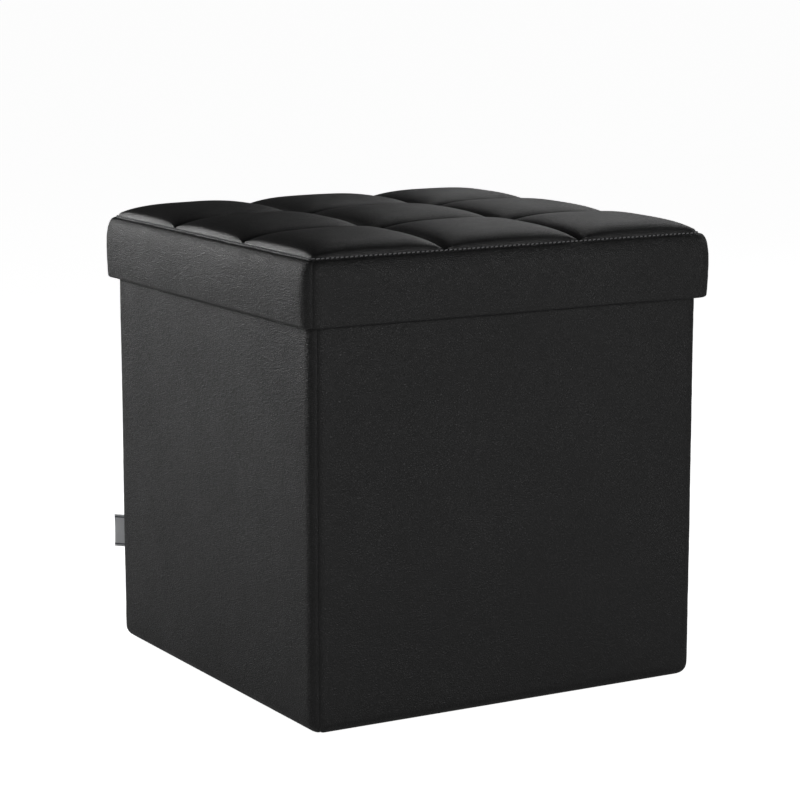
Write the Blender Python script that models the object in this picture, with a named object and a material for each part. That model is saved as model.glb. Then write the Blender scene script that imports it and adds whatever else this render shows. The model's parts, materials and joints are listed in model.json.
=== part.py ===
"""Storage ottoman: a square upholstered box, a padded lid that lifts off and a loose floor board.

Metres, +Z up. The origin is on the ground under the middle of the box, and -Y is the front.
"""

import math

import bmesh
import bpy
from mathutils import Matrix, Vector

# Overall sizes
BODY_SIDE = 0.362  # outside width of the box over its cover
BODY_TOP = 0.3426  # height of the box's rim
LID_OVERLAP = 0.0205  # how far the lid reaches down over the rim
PUFF_HEIGHT = 0.0149  # highest quilted square over the lid's top seam

# Sheet goods
WALL_BOARD = 0.005
LID_BOARD = 0.009
SKIRT_BOARD = 0.004
FLOOR_BOARD = 0.004
COVER = 0.0012  # faux leather with its backing
LINING = 0.0008  # unwoven cloth
WALL_PAD = 0.0025
FOAM_EDGE = 0.0193  # foam under the lid's top seam

# Rounding and trim
BODY_CORNER = 0.013  # upright corners of the box
FOOT_RADIUS = 0.010  # lower edge of the box
BOARD_CORNER = 0.8 * FOOT_RADIUS  # the four corners of each wall board
RIM_RADIUS = 0.005
RIM_RETURN = 0.022  # cover turned down inside the rim
FLANGE = 0.018  # cover turned in under the box, past its rounded edge
BASE_INSET = 0.014  # base cloth, in from the box's side
LID_CORNER = 0.015
BAND_TUCK = 0.001  # the band is this much narrower each side at its lower edge
BAND_EDGE_RADIUS = 0.002
SHOULDER_DROP = 0.0241  # from the top seam down to the widest part of the band
SEAM_INSET = 0.008  # top seam, in from the band's widest part
CHANNEL_SHARE = 0.343  # sewn quilting lines, as a share of the way out to the top seam
CHANNEL_RISE = 0.003
FLOOR_HEM = 0.025
FLOOR_CORNER = 0.003
TAB_SIZE = (0.025, 0.048, 0.0016)
LABEL_SIZE = (0.010, 0.0009, 0.0285)  # out from the seam, thickness, height
LABEL_LOW = 0.0811

# Fits
GAP = 0.0003  # between pieces that touch
LID_CLEARANCE = 0.001  # lid to box, each side
CORNER_CLEARANCE = 0.0006  # board ends to the cover's rounded corner
FLOOR_CLEARANCE = 0.0012  # floor board to the turned-in rim, each side

CORNER_STEPS = 6
EDGE_STEPS = 5
SHOULDER_STEPS = 5
SHOULDER_POWER = 2.4
PUFF_POWER = 2.5
CELLS_PER_PUFF = 6
PAST = 0.01  # cutters run this far past what they cut

# Heights that follow, from the ground up
COVER_LOW = LINING + GAP
FLOOR_LOW = COVER_LOW + COVER + GAP
LID_LOW = BODY_TOP - LID_OVERLAP
LID_LINING_LOW = BODY_TOP + GAP
LID_BOARD_LOW = LID_LINING_LOW + LINING + GAP
FOAM_LOW = LID_BOARD_LOW + LID_BOARD + GAP
SEAM_Z = FOAM_LOW + FOAM_EDGE + GAP + COVER
SHOULDER_Z = SEAM_Z - SHOULDER_DROP

# Distances that follow, from the middle of the box outwards
BODY_HALF = BODY_SIDE / 2
PAD_FACE = BODY_HALF - COVER - GAP
BOARD_FACE = PAD_FACE - WALL_PAD - GAP
LINING_FACE = BOARD_FACE - WALL_BOARD - GAP
RETURN_FACE = LINING_FACE - LINING - GAP
MOUTH = RETURN_FACE - COVER
FLOOR_HALF = MOUTH - FLOOR_CLEARANCE
LID_MOUTH = BODY_HALF + LID_CLEARANCE
BAND_LEG_FACE = LID_MOUTH + COVER
SKIRT_FACE = BAND_LEG_FACE + GAP + SKIRT_BOARD
LID_HALF = SKIRT_FACE + GAP + COVER + BAND_TUCK
SEAM_HALF = LID_HALF - SEAM_INSET
CHANNEL = CHANNEL_SHARE * SEAM_HALF

SIDES = ("front", "right", "back", "left")  # each a quarter turn further


def clear_scene():
    for obj in list(bpy.data.objects):
        bpy.data.objects.remove(obj)


def new_collection(name):
    collection = bpy.data.collections.new(name)
    bpy.context.scene.collection.children.link(collection)
    return collection


def new_material(name, colour, roughness):
    material = bpy.data.materials.new(name)
    material.use_nodes = True
    shader = material.node_tree.nodes["Principled BSDF"]
    shader.inputs["Base Color"].default_value = (*colour, 1)
    shader.inputs["Roughness"].default_value = roughness
    shader.inputs["Metallic"].default_value = 0
    return material


clear_scene()
OTTOMAN = new_collection("storage_ottoman")
CUTTERS = new_collection("cutters")
CUTTERS.hide_render = True


def finish_mesh(bm, name, smooth=False):
    bmesh.ops.recalc_face_normals(bm, faces=bm.faces)
    mesh = bpy.data.meshes.new(name)
    bm.to_mesh(mesh)
    bm.free()
    if smooth:
        mesh.shade_smooth()
        mesh.set_sharp_from_angle(angle=math.radians(35))
    return mesh


def part(name, mesh, material, quarter_turns=0):
    obj = bpy.data.objects.new(name, mesh)
    OTTOMAN.objects.link(obj)
    obj.rotation_euler.z = math.radians(90 * quarter_turns)
    obj.data.materials.clear()
    obj.data.materials.append(material)
    return obj


def cutter(name, mesh):
    obj = bpy.data.objects.new(name, mesh)
    CUTTERS.objects.link(obj)
    obj.hide_render = True
    obj.display_type = "WIRE"
    return obj


def boolean(obj, other, operation):
    modifier = obj.modifiers.new(f"{operation.lower()} {other.name}", "BOOLEAN")
    modifier.operation = operation
    modifier.object = other
    modifier.solver = "EXACT"
    return obj


def box_mesh(name, low, high):
    """A plain box between two opposite corners."""
    bm = bmesh.new()
    bmesh.ops.create_cube(bm, size=1)
    low, high = Vector(low), Vector(high)
    bmesh.ops.scale(bm, vec=high - low, verts=bm.verts)
    bmesh.ops.translate(bm, vec=(low + high) / 2, verts=bm.verts)
    return finish_mesh(bm, name)


def rounded_square(half, radius, height):
    """Points round a square with round corners, at one height."""
    radius = max(radius, GAP)
    points = []
    for corner in range(4):
        for step in range(CORNER_STEPS + 1):
            angle = math.radians(90) * (corner + step / CORNER_STEPS)
            turn = Matrix.Rotation(math.radians(90) * corner, 2)
            centre = turn @ Vector((half - radius, half - radius))
            x = centre.x + radius * math.cos(angle)
            y = centre.y + radius * math.sin(angle)
            points.append((x, y, height))
    return points


def lofted_mesh(name, profile, widest, corner, smooth=True):
    """A solid through round-cornered squares. A profile point is (half width, height), and the
    corners stay concentric: their radius is corner where the half width is widest."""
    bm = bmesh.new()
    rings = []
    for half, height in profile:
        points = rounded_square(half, corner - (widest - half), height)
        rings.append([bm.verts.new(point) for point in points])
    count = len(rings[0])
    for lower, upper in zip(rings, rings[1:]):
        for i in range(count):
            j = (i + 1) % count
            bm.faces.new((lower[i], lower[j], upper[j], upper[i]))
    bm.faces.new(reversed(rings[0]))
    bm.faces.new(rings[-1])
    return finish_mesh(bm, name, smooth)


def prism_mesh(name, half, radius, low, high):
    return lofted_mesh(name, [(half, low), (half, high)], half, radius)


def inset_profile(profile, distance):
    """The profile moved inwards by a distance, square to itself."""
    moved = []
    for i, (half, height) in enumerate(profile):
        before = Vector(profile[max(i - 1, 0)])
        after = Vector(profile[min(i + 1, len(profile) - 1)])
        if i == 0:
            along = Vector((1, 0))
        elif i == len(profile) - 1:
            along = Vector((-1, 0))
        else:
            along = (after - before).normalized()
        moved.append((half - distance * along.y, height + distance * along.x))
    return moved


def arc(centre, radius, start, end, steps):
    """Profile points on an arc, from one angle to another in degrees."""
    angles = [math.radians(start + (end - start) * i / steps) for i in range(steps + 1)]
    return [
        (centre[0] + radius * math.cos(a), centre[1] + radius * math.sin(a))
        for a in angles
    ]


def body_profile():
    """Outside of the box's cover, from its underside round to the top of the rim."""
    foot = (BODY_HALF - FOOT_RADIUS, COVER_LOW + FOOT_RADIUS)
    rim = (BODY_HALF - RIM_RADIUS, BODY_TOP - RIM_RADIUS)
    return arc(foot, FOOT_RADIUS, -90, 0, EDGE_STEPS) + arc(
        rim, RIM_RADIUS, 0, 90, EDGE_STEPS
    )


def lid_profile():
    """Outside of the lid's band, from its lower edge up to the top seam."""
    edge_half = LID_HALF - BAND_TUCK
    edge = (edge_half - BAND_EDGE_RADIUS, LID_LOW + BAND_EDGE_RADIUS)
    profile = arc(edge, BAND_EDGE_RADIUS, -90, 0, 3)
    rise = SHOULDER_Z - edge[1]
    for share in (0.33, 0.67):
        profile.append((LID_HALF - BAND_TUCK * (1 - share) ** 2, edge[1] + rise * share))
    for step in range(SHOULDER_STEPS + 1):
        angle = math.radians(90) * step / SHOULDER_STEPS
        across = max(math.cos(angle), 0) ** (2 / SHOULDER_POWER)
        up = math.sin(angle) ** (2 / SHOULDER_POWER)
        profile.append((SEAM_HALF + SEAM_INSET * across, SHOULDER_Z + SHOULDER_DROP * up))
    return profile


def reach(face, half, radius):
    """How far a board whose outer face is at face may run into a rounded corner."""
    centre = half - radius
    inner = radius - COVER
    return centre + math.sqrt(max(inner**2 - (face - centre) ** 2, 0)) - CORNER_CLEARANCE


def clear_of_foot(face, easing=0):
    """Lowest height at which a piece whose outer face is at face clears the cover's foot. Its
    own lower edge is rounded by easing."""
    inner = FOOT_RADIUS - COVER - GAP - easing
    across = max(face - (BODY_HALF - FOOT_RADIUS) - easing, 0)
    low = COVER_LOW + FOOT_RADIUS - easing - math.sqrt(max(inner**2 - across**2, 0))
    return max(low, FLOOR_LOW)


def wedges():
    """One cutter for each side: all that is nearer to it than to its neighbours."""
    side = 2 * LID_HALF
    made = []
    for turns, name in enumerate(SIDES):
        bm = bmesh.new()
        bmesh.ops.create_cube(bm, size=1)
        bmesh.ops.scale(bm, vec=(side, side, 2 * side), verts=bm.verts)
        turn = Matrix.Rotation(math.radians(45), 3, "Z")
        bmesh.ops.rotate(bm, cent=(0, 0, 0), matrix=turn, verts=bm.verts)
        out = (side + GAP) / math.sqrt(2)
        bmesh.ops.translate(bm, vec=(0, -out, side / 2), verts=bm.verts)
        turn = Matrix.Rotation(math.radians(90) * turns, 3, "Z")
        bmesh.ops.rotate(bm, cent=(0, 0, 0), matrix=turn, verts=bm.verts)
        made.append(cutter(f"{name}_wedge", finish_mesh(bm, f"{name}_wedge")))
    return made


def sided_cover(names, shell, cutters, sides, material):
    """Four sewn panels of one shell, parted at the corners."""
    panels = []
    for name, side in zip(names, sides):
        panel = part(name, shell.copy(), material)
        for other in cutters:
            boolean(panel, other, "DIFFERENCE")
        panels.append(boolean(panel, side, "INTERSECT"))
    return panels


def wall_boards(material):
    """Front and back boards run the full width, and the side boards butt between them."""
    easing = 0.8 * WALL_BOARD
    low = clear_of_foot(BOARD_FACE, easing)
    high = BODY_TOP - COVER - GAP
    made = []
    for turns, side in enumerate(SIDES):
        if side in ("front", "back"):
            end = reach(BOARD_FACE, BODY_HALF, BODY_CORNER)
        else:
            end = BOARD_FACE - WALL_BOARD - GAP
        low_corner = (-end, -BOARD_FACE, low)
        high_corner = (end, -BOARD_FACE + WALL_BOARD, high)
        bm = bmesh.new()
        bm.from_mesh(box_mesh("board", low_corner, high_corner))
        end_edges = [
            edge
            for edge in bm.edges
            if abs(edge.verts[0].co.y - edge.verts[1].co.y) > GAP
        ]
        bmesh.ops.bevel(
            bm, geom=end_edges, offset=BOARD_CORNER, segments=3, profile=0.5, affect="EDGES"
        )
        outer_rim = [
            edge
            for edge in bm.edges
            if all(v.co.y < -BOARD_FACE + GAP and v.co.z < high - GAP for v in edge.verts)
        ]
        bmesh.ops.bevel(
            bm, geom=outer_rim, offset=easing, segments=3, profile=0.5, affect="EDGES"
        )
        name = f"{side}_wall_board"
        made.append(part(name, finish_mesh(bm, name, smooth=True), material, turns))
    return made


def wall_pads(material):
    """Thin foam on each wall board, between the rounded edges."""
    end = reach(PAD_FACE, BODY_HALF, BODY_CORNER)
    low, high = COVER_LOW + FOOT_RADIUS, BODY_TOP - RIM_RADIUS
    made = []
    for turns, side in enumerate(SIDES):
        name = f"{side}_wall_pad"
        mesh = box_mesh(name, (-end, -PAD_FACE, low), (end, -PAD_FACE + WALL_PAD, high))
        made.append(part(name, mesh, material, turns))
    return made


def body_cover(material, sides):
    """Four panels: each turns in under the box, and over the rim and down inside it."""
    profile = body_profile()
    return_end = BODY_TOP - RIM_RETURN
    shell = lofted_mesh("body_cover", profile, BODY_HALF, BODY_CORNER)
    pocket = cutter(
        "wall_pocket",
        lofted_mesh("wall_pocket", inset_profile(profile, COVER), BODY_HALF, BODY_CORNER),
    )
    return_radius = BODY_CORNER - (BODY_HALF - RETURN_FACE)
    plug = prism_mesh("rim_plug", RETURN_FACE, return_radius, return_end, BODY_TOP + PAST)
    boolean(pocket, cutter("rim_plug", plug), "DIFFERENCE")
    mouth = prism_mesh("mouth", MOUTH, return_radius - COVER, return_end - PAST, BODY_TOP + PAST)
    hole_half = BODY_HALF - FOOT_RADIUS - FLANGE
    hole = prism_mesh("base_hole", hole_half, GAP, COVER_LOW - PAST, COVER_LOW + PAST)
    cutters = [pocket, cutter("mouth", mouth), cutter("base_hole", hole)]
    names = [f"{side}_cover_panel" for side in SIDES]
    return sided_cover(names, shell, cutters, sides, material)


def wall_lining(material):
    radius = BODY_CORNER - (BODY_HALF - LINING_FACE)
    low, high = clear_of_foot(LINING_FACE), BODY_TOP - COVER - RIM_RADIUS
    outer = prism_mesh("wall_lining", LINING_FACE, radius, low, high)
    inner = prism_mesh(
        "lining_space", LINING_FACE - LINING, radius - LINING, low - PAST, high + PAST
    )
    return boolean(part("wall_lining", outer, material), cutter("lining_space", inner), "DIFFERENCE")


def base_cloth(material):
    half = BODY_HALF - BASE_INSET
    return part("base_cloth", prism_mesh("base_cloth", half, 0.004, 0, LINING), material)


def seam_label(material):
    """Folded woven label sewn into the back left corner seam."""
    out, thickness, height = LABEL_SIZE
    mesh = box_mesh("seam_label", (0, -thickness / 2, 0), (out, thickness / 2, height))
    label = part("seam_label", mesh, material)
    centre = BODY_HALF - BODY_CORNER
    start = centre + (BODY_CORNER + GAP) / math.sqrt(2)
    label.location = (-start, start, LABEL_LOW)
    label.rotation_euler.z = math.radians(135)
    return label


def floor_board(board_material, cloth_material):
    """Loose board in a cloth cover, which is hemmed in under it."""
    cover_high = FLOOR_LOW + 2 * (LINING + GAP) + FLOOR_BOARD
    cover = part(
        "floor_board_cover",
        prism_mesh("floor_board_cover", FLOOR_HALF, FLOOR_CORNER, FLOOR_LOW, cover_high),
        cloth_material,
    )
    inside = FLOOR_HALF - LINING
    pocket = prism_mesh(
        "floor_pocket", inside, FLOOR_CORNER - LINING, FLOOR_LOW + LINING, cover_high - LINING
    )
    hole = prism_mesh(
        "floor_hem_hole", FLOOR_HALF - FLOOR_HEM, GAP, FLOOR_LOW - PAST, FLOOR_LOW + LINING + GAP
    )
    boolean(cover, cutter("floor_pocket", pocket), "DIFFERENCE")
    boolean(cover, cutter("floor_hem_hole", hole), "DIFFERENCE")
    low = FLOOR_LOW + LINING + GAP
    mesh = prism_mesh(
        "floor_board", inside - GAP, FLOOR_CORNER - LINING - GAP, low, low + FLOOR_BOARD
    )
    board = part("floor_board", mesh, board_material)
    return [board, cover], cover_high


def floor_pull_tab(material, cover_high):
    """Doubled ribbon sewn to the back edge of the floor board, lying on it."""
    width, length, thickness = TAB_SIZE
    back = FLOOR_HALF - GAP
    bm = bmesh.new()
    low = cover_high + GAP
    bm.from_mesh(
        box_mesh("tab", (-width / 2, back - length, low), (width / 2, back, low + thickness))
    )
    front_corners = [
        edge
        for edge in bm.edges
        if all(v.co.y < back - length + GAP for v in edge.verts)
        and abs(edge.verts[0].co.z - edge.verts[1].co.z) > GAP
    ]
    bmesh.ops.bevel(
        bm, geom=front_corners, offset=0.2 * width, segments=3, profile=0.5, affect="EDGES"
    )
    return part("floor_pull_tab", finish_mesh(bm, "floor_pull_tab", smooth=True), material)


def lid_band(material, sides):
    """Four strips sewn at the corners, each turned under the skirt and up inside it."""
    profile = lid_profile()
    shell = lofted_mesh("lid_band", profile, LID_HALF, LID_CORNER)
    pocket = cutter(
        "lid_pocket",
        lofted_mesh("lid_pocket", inset_profile(profile, COVER), LID_HALF, LID_CORNER),
    )
    leg_top = LID_LINING_LOW - GAP
    leg_radius = LID_CORNER - (LID_HALF - BAND_LEG_FACE)
    plug = prism_mesh("leg_plug", BAND_LEG_FACE, leg_radius, LID_LOW - PAST, leg_top)
    boolean(pocket, cutter("leg_plug", plug), "DIFFERENCE")
    recess = prism_mesh(
        "lid_recess", LID_MOUTH, leg_radius - COVER, LID_LOW - PAST, leg_top + PAST / 2
    )
    seam_hole = prism_mesh(
        "seam_hole", SEAM_HALF, LID_CORNER - SEAM_INSET, SHOULDER_Z, SEAM_Z + PAST
    )
    cutters = [pocket, cutter("lid_recess", recess), cutter("seam_hole", seam_hole)]
    names = [f"{side}_lid_band" for side in SIDES]
    return sided_cover(names, shell, cutters, sides, material)


def lid_boards(material):
    """The lid's board, and the four skirt boards stapled up under its edge."""
    face = LID_HALF - COVER - GAP
    radius = LID_CORNER - COVER - GAP
    mesh = prism_mesh("lid_board", face, radius, LID_BOARD_LOW, LID_BOARD_LOW + LID_BOARD)
    made = [part("lid_board", mesh, material)]
    end = reach(SKIRT_FACE, LID_HALF - BAND_TUCK, LID_CORNER - BAND_TUCK)
    low, high = LID_LOW + COVER + 2 * GAP, LID_BOARD_LOW - GAP
    for turns, side in enumerate(SIDES):
        name = f"{side}_skirt_board"
        mesh = box_mesh(name, (-end, -SKIRT_FACE, low), (end, -SKIRT_FACE + SKIRT_BOARD, high))
        made.append(part(name, mesh, material, turns))
    return made


def lid_lining(material):
    half = BAND_LEG_FACE
    radius = LID_CORNER - (LID_HALF - half)
    mesh = prism_mesh("lid_lining", half, radius, LID_LINING_LOW, LID_LINING_LOW + LINING)
    return part("lid_lining", mesh, material)


def quilt_height(x, y):
    """Top of the quilted cover: nine puffed squares between sewn lines."""

    def puff(at):
        if abs(at) <= CHANNEL:
            across = at / CHANNEL
        else:
            middle = (CHANNEL + SEAM_HALF) / 2
            across = (abs(at) - middle) / (SEAM_HALF - middle)
        return math.sqrt(max(1 - abs(across) ** PUFF_POWER, 0))

    dome = (1 - (x / SEAM_HALF) ** 2) * (1 - (y / SEAM_HALF) ** 2)
    rise = CHANNEL_RISE * dome
    return SEAM_Z + rise + (PUFF_HEIGHT - CHANNEL_RISE) * puff(x) * puff(y)


def quilted_mesh(name, drop, thickness):
    """A quilted layer. Its lower face is drop under the quilt's top, and straight up from there
    it is thickness deep."""
    bm = bmesh.new()
    cells = 3 * CELLS_PER_PUFF
    bmesh.ops.create_grid(bm, x_segments=cells, y_segments=cells, size=1)

    def spread(share):
        """The sewn lines fall on the grid's own lines."""
        if abs(share) <= 1 / 3:
            return share * 3 * CHANNEL
        outer = (abs(share) - 1 / 3) * 1.5 * (SEAM_HALF - CHANNEL)
        return math.copysign(CHANNEL + outer, share)

    for vert in bm.verts:
        x, y = spread(vert.co.x), spread(vert.co.y)
        vert.co = (x, y, quilt_height(x, y) - drop)
    bmesh.ops.triangulate(bm, faces=bm.faces, quad_method="FIXED")
    raised = bmesh.ops.extrude_face_region(bm, geom=bm.faces[:])["geom"]
    verts = [item for item in raised if isinstance(item, bmesh.types.BMVert)]
    bmesh.ops.translate(bm, vec=(0, 0, thickness), verts=verts)
    return finish_mesh(bm, name, smooth=True)


def lid_padding(foam_material, cover_material):
    """Foam on the lid's board, and the quilted cover over it."""
    inside = inset_profile(lid_profile(), COVER + GAP)
    base_half = LID_HALF - COVER - GAP
    wall = SEAM_HALF - GAP
    shoulder = [
        (half, height)
        for half, height in inside
        if height > FOAM_LOW + GAP and half > wall + 2 * GAP
    ]
    profile = [(base_half, FOAM_LOW), *shoulder]
    profile += [(wall, profile[-1][1] + GAP), (wall, SEAM_Z + 2 * PUFF_HEIGHT)]
    foam = part("lid_foam", lofted_mesh("lid_foam", profile, LID_HALF, LID_CORNER), foam_material)
    above = quilted_mesh("above_foam", COVER + GAP, 3 * PUFF_HEIGHT)
    boolean(foam, cutter("above_foam", above), "DIFFERENCE")
    cover = part("lid_top_cover", quilted_mesh("lid_top_cover", COVER, COVER), cover_material)
    outline = prism_mesh(
        "top_outline", wall, LID_CORNER - SEAM_INSET - GAP, FOAM_LOW, SEAM_Z + 2 * PUFF_HEIGHT
    )
    boolean(cover, cutter("top_outline", outline), "INTERSECT")
    return [foam, cover]


def on_slide(name, height, pieces):
    """Parents pieces to an empty on the middle line that they slide along."""
    axis = bpy.data.objects.new(name, None)
    OTTOMAN.objects.link(axis)
    axis.location = (0, 0, height)
    for piece in pieces:
        piece.parent = axis
        piece.matrix_parent_inverse = Matrix.Translation((0, 0, -height))


def build():
    faux_leather = new_material("black_faux_leather", (0.012, 0.012, 0.013), 0.42)
    fibreboard = new_material("fibreboard", (0.42, 0.30, 0.19), 0.80)
    cloth = new_material("black_lining", (0.018, 0.018, 0.019), 0.95)
    foam = new_material("foam", (0.80, 0.76, 0.62), 0.95)
    label_weave = new_material("label_weave", (0.40, 0.41, 0.43), 0.80)
    ribbon = new_material("ribbon", (0.02, 0.02, 0.021), 0.60)

    sides = wedges()
    wall_boards(fibreboard)
    wall_pads(foam)
    body_cover(faux_leather, sides)
    wall_lining(cloth)
    base_cloth(cloth)
    seam_label(label_weave)

    pieces, cover_high = floor_board(fibreboard, cloth)
    pieces.append(floor_pull_tab(ribbon, cover_high))
    on_slide("floor_board_lift", FLOOR_LOW, pieces)

    pieces = lid_band(faux_leather, sides)
    pieces += lid_boards(fibreboard)
    pieces.append(lid_lining(cloth))
    pieces += lid_padding(foam, faux_leather)
    on_slide("lid_lift", LID_LOW, pieces)


build()
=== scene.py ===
"""Looks of a square storage ottoman in black faux leather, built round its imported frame."""

import json
import math

import bmesh
import bpy
from mathutils import Matrix, Vector, noise
from mathutils.bvhtree import BVHTree


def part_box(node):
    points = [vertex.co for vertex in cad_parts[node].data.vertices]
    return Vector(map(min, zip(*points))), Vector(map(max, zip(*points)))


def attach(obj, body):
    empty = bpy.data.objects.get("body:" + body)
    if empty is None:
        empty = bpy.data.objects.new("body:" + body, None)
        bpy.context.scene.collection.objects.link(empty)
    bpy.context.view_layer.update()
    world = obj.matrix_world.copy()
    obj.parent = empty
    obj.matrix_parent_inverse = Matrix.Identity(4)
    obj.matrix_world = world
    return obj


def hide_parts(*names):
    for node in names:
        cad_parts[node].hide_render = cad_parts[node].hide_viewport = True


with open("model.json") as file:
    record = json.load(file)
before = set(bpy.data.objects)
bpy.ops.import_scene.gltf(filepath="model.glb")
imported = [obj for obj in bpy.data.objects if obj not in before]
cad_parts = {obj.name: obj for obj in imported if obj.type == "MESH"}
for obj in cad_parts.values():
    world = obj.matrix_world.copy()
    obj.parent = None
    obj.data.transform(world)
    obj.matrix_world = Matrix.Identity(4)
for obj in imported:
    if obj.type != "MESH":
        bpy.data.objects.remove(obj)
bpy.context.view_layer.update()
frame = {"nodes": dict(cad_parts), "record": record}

SIDES = ("front", "right", "back", "left")  # each a quarter turn further

# Sizes read from the frame
cover_low, cover_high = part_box("front_cover_panel")
BOX_HALF, BOX_LOW, RIM = -cover_low.y, cover_low.z, cover_high.z
band_low, band_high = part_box("front_lid_band")
LID_HALF, SKIRT, SEAM = -band_low.y, band_low.z, band_high.z
top_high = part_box("lid_top_cover")[1]
TOP_HALF, CROWN = top_high.x, top_high.z
lining_low, lining_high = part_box("wall_lining")
LINING_HALF = lining_high.x
floor_low, floor_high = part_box("floor_board_cover")
lid_lining_low, lid_lining_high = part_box("lid_lining")
foam_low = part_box("lid_foam")[0]
base_low, base_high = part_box("base_cloth")
label_low, label_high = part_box("seam_label")
tab_low, tab_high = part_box("floor_pull_tab")

# Sizes of the upholstery
SKIN = 0.0012  # faux leather
CLOTH = 0.0008
RETURN_FACE = LINING_HALF - CLOTH - SKIN - 0.0003  # the cover turned in over the lining
BOX_CORNER, LID_CORNER = 0.013, 0.015
FOOT, RIM_ROUND, HEM_ROUND = 0.010, 0.005, 0.002
FLANGE = 0.018
RETURN_DEPTH = 0.022
LEG_FACE = BOX_HALF + 0.001  # inner face of the lid's turned-up band, clear of the box
TUCK = 0.001  # the lid's band draws in this much at its lower edge
SHOULDER = 0.0241
SEAM_IN = LID_HALF - 0.182
SEAM_TURN = math.radians(8)  # the upright seams lie this far round from the corner's middle
TOP_RINGS = 67  # grid lines from the middle of the lid's top to its seam
CHANNEL_RING = 23  # the grid line that is a quilting seam
CHANNEL = TOP_HALF * CHANNEL_RING / TOP_RINGS
TAIL_DROP = 0.0045  # how far the top's cloth goes down behind the band at its edge
SWAY = 0.0026  # rise of the lid's middle over its edge, without the pillows
PILLOW = CROWN - SEAM - 0.0024
STUFFED = 1.02  # the pillows start this much higher, as the simulation settles them
MOST_MOVE = 0.003  # the stuffing moves no point further than this
STUFFING_FRAMES = 20
FLOOR_EDGE = 0.0010  # rounding of the cloth at the floor board's edges


# ---------------------------------------------------------------- materials

def group(name, inputs, outputs):
    tree = bpy.data.node_groups.new(name, "ShaderNodeTree")
    for label, kind, value in inputs:
        socket = tree.interface.new_socket(label, in_out="INPUT", socket_type=kind)
        if value is not None:
            socket.default_value = value
    for label, kind in outputs:
        tree.interface.new_socket(label, in_out="OUTPUT", socket_type=kind)
    return tree, tree.nodes.new("NodeGroupInput"), tree.nodes.new("NodeGroupOutput")


def add(tree, kind, links=(), **settings):
    """One node, with its settings and the links into it."""
    node = tree.nodes.new(kind)
    for key, value in settings.items():
        setattr(node, key, value)
    for socket, source in links:
        if isinstance(source, bpy.types.NodeSocket):
            tree.links.new(source, node.inputs[socket])
        else:
            node.inputs[socket].default_value = source
    return node


def math_node(tree, operation, first, second=None, third=None):
    links = [(0, first)] + [(i, v) for i, v in ((1, second), (2, third)) if v is not None]
    return add(tree, "ShaderNodeMath", links, operation=operation).outputs[0]


def span(tree, value, low, high, to_low=0.0, to_high=1.0):
    links = [("Value", value), ("From Min", low), ("From Max", high)]
    links += [("To Min", to_low), ("To Max", to_high)]
    return add(tree, "ShaderNodeMapRange", links).outputs[0]


def pebble_group():
    """Leather grain: small rounded pebbles parted by creases, over slow unevenness."""
    tree, start, end = group(
        "pebbled_grain",
        [("Vector", "NodeSocketVector", None), ("Pebble", "NodeSocketFloat", 900.0),
         ("Crease", "NodeSocketFloat", 0.35), ("Swell", "NodeSocketFloat", 1.0)],
        [("Height", "NodeSocketFloat"), ("Crease", "NodeSocketFloat"),
         ("Patch", "NodeSocketFloat")],
    )
    warp = add(tree, "ShaderNodeTexNoise", [("Vector", start.outputs["Vector"]),
               ("Scale", 420.0), ("Detail", 2.0)])
    offset = add(tree, "ShaderNodeVectorMath", [(0, warp.outputs["Color"]),
                 (1, (0.0012, 0.0012, 0.0012))], operation="MULTIPLY")
    place = add(tree, "ShaderNodeVectorMath", [(0, start.outputs["Vector"]),
                (1, offset.outputs[0])], operation="ADD")
    cells = add(tree, "ShaderNodeTexVoronoi", [("Vector", place.outputs[0]),
                ("Scale", start.outputs["Pebble"])], feature="DISTANCE_TO_EDGE")
    crease = span(tree, cells.outputs["Distance"], 0.0, start.outputs["Crease"])
    small = add(tree, "ShaderNodeTexNoise", [("Vector", start.outputs["Vector"]),
                ("Scale", 2600.0), ("Detail", 2.0)])
    slow = add(tree, "ShaderNodeTexNoise", [("Vector", start.outputs["Vector"]),
               ("Scale", 330.0), ("Detail", 3.0), ("Roughness", 0.6)])
    patch = add(tree, "ShaderNodeTexNoise", [("Vector", start.outputs["Vector"]),
                ("Scale", 14.0), ("Detail", 3.0), ("Roughness", 0.6)])
    height = math_node(tree, "MULTIPLY_ADD", small.outputs["Fac"], 0.25, crease)
    swell = math_node(tree, "MULTIPLY", slow.outputs["Fac"], start.outputs["Swell"])
    tree.links.new(math_node(tree, "ADD", height, swell), end.inputs["Height"])
    tree.links.new(math_node(tree, "SUBTRACT", 1.0, crease), end.inputs["Crease"])
    tree.links.new(span(tree, patch.outputs["Fac"], 0.35, 0.65), end.inputs["Patch"])
    return tree


def unwoven_group():
    """Bonded fibre cloth: short fibres and the small dimples that bond them."""
    tree, start, end = group(
        "bonded_fibre",
        [("Vector", "NodeSocketVector", None), ("Dimple", "NodeSocketFloat", 700.0)],
        [("Height", "NodeSocketFloat"), ("Fibre", "NodeSocketFloat")],
    )
    fibres = add(tree, "ShaderNodeTexNoise", [("Vector", start.outputs["Vector"]),
                 ("Scale", 900.0), ("Detail", 5.0), ("Roughness", 0.7), ("Distortion", 2.5)])
    dimples = add(tree, "ShaderNodeTexVoronoi", [("Vector", start.outputs["Vector"]),
                  ("Scale", start.outputs["Dimple"]), ("Randomness", 0.35)], feature="F1")
    pits = span(tree, dimples.outputs["Distance"], 0.12, 0.34)
    height = math_node(tree, "MULTIPLY_ADD", fibres.outputs["Fac"], 0.5, pits)
    tree.links.new(height, end.inputs["Height"])
    tree.links.new(fibres.outputs["Fac"], end.inputs["Fibre"])
    return tree


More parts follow.
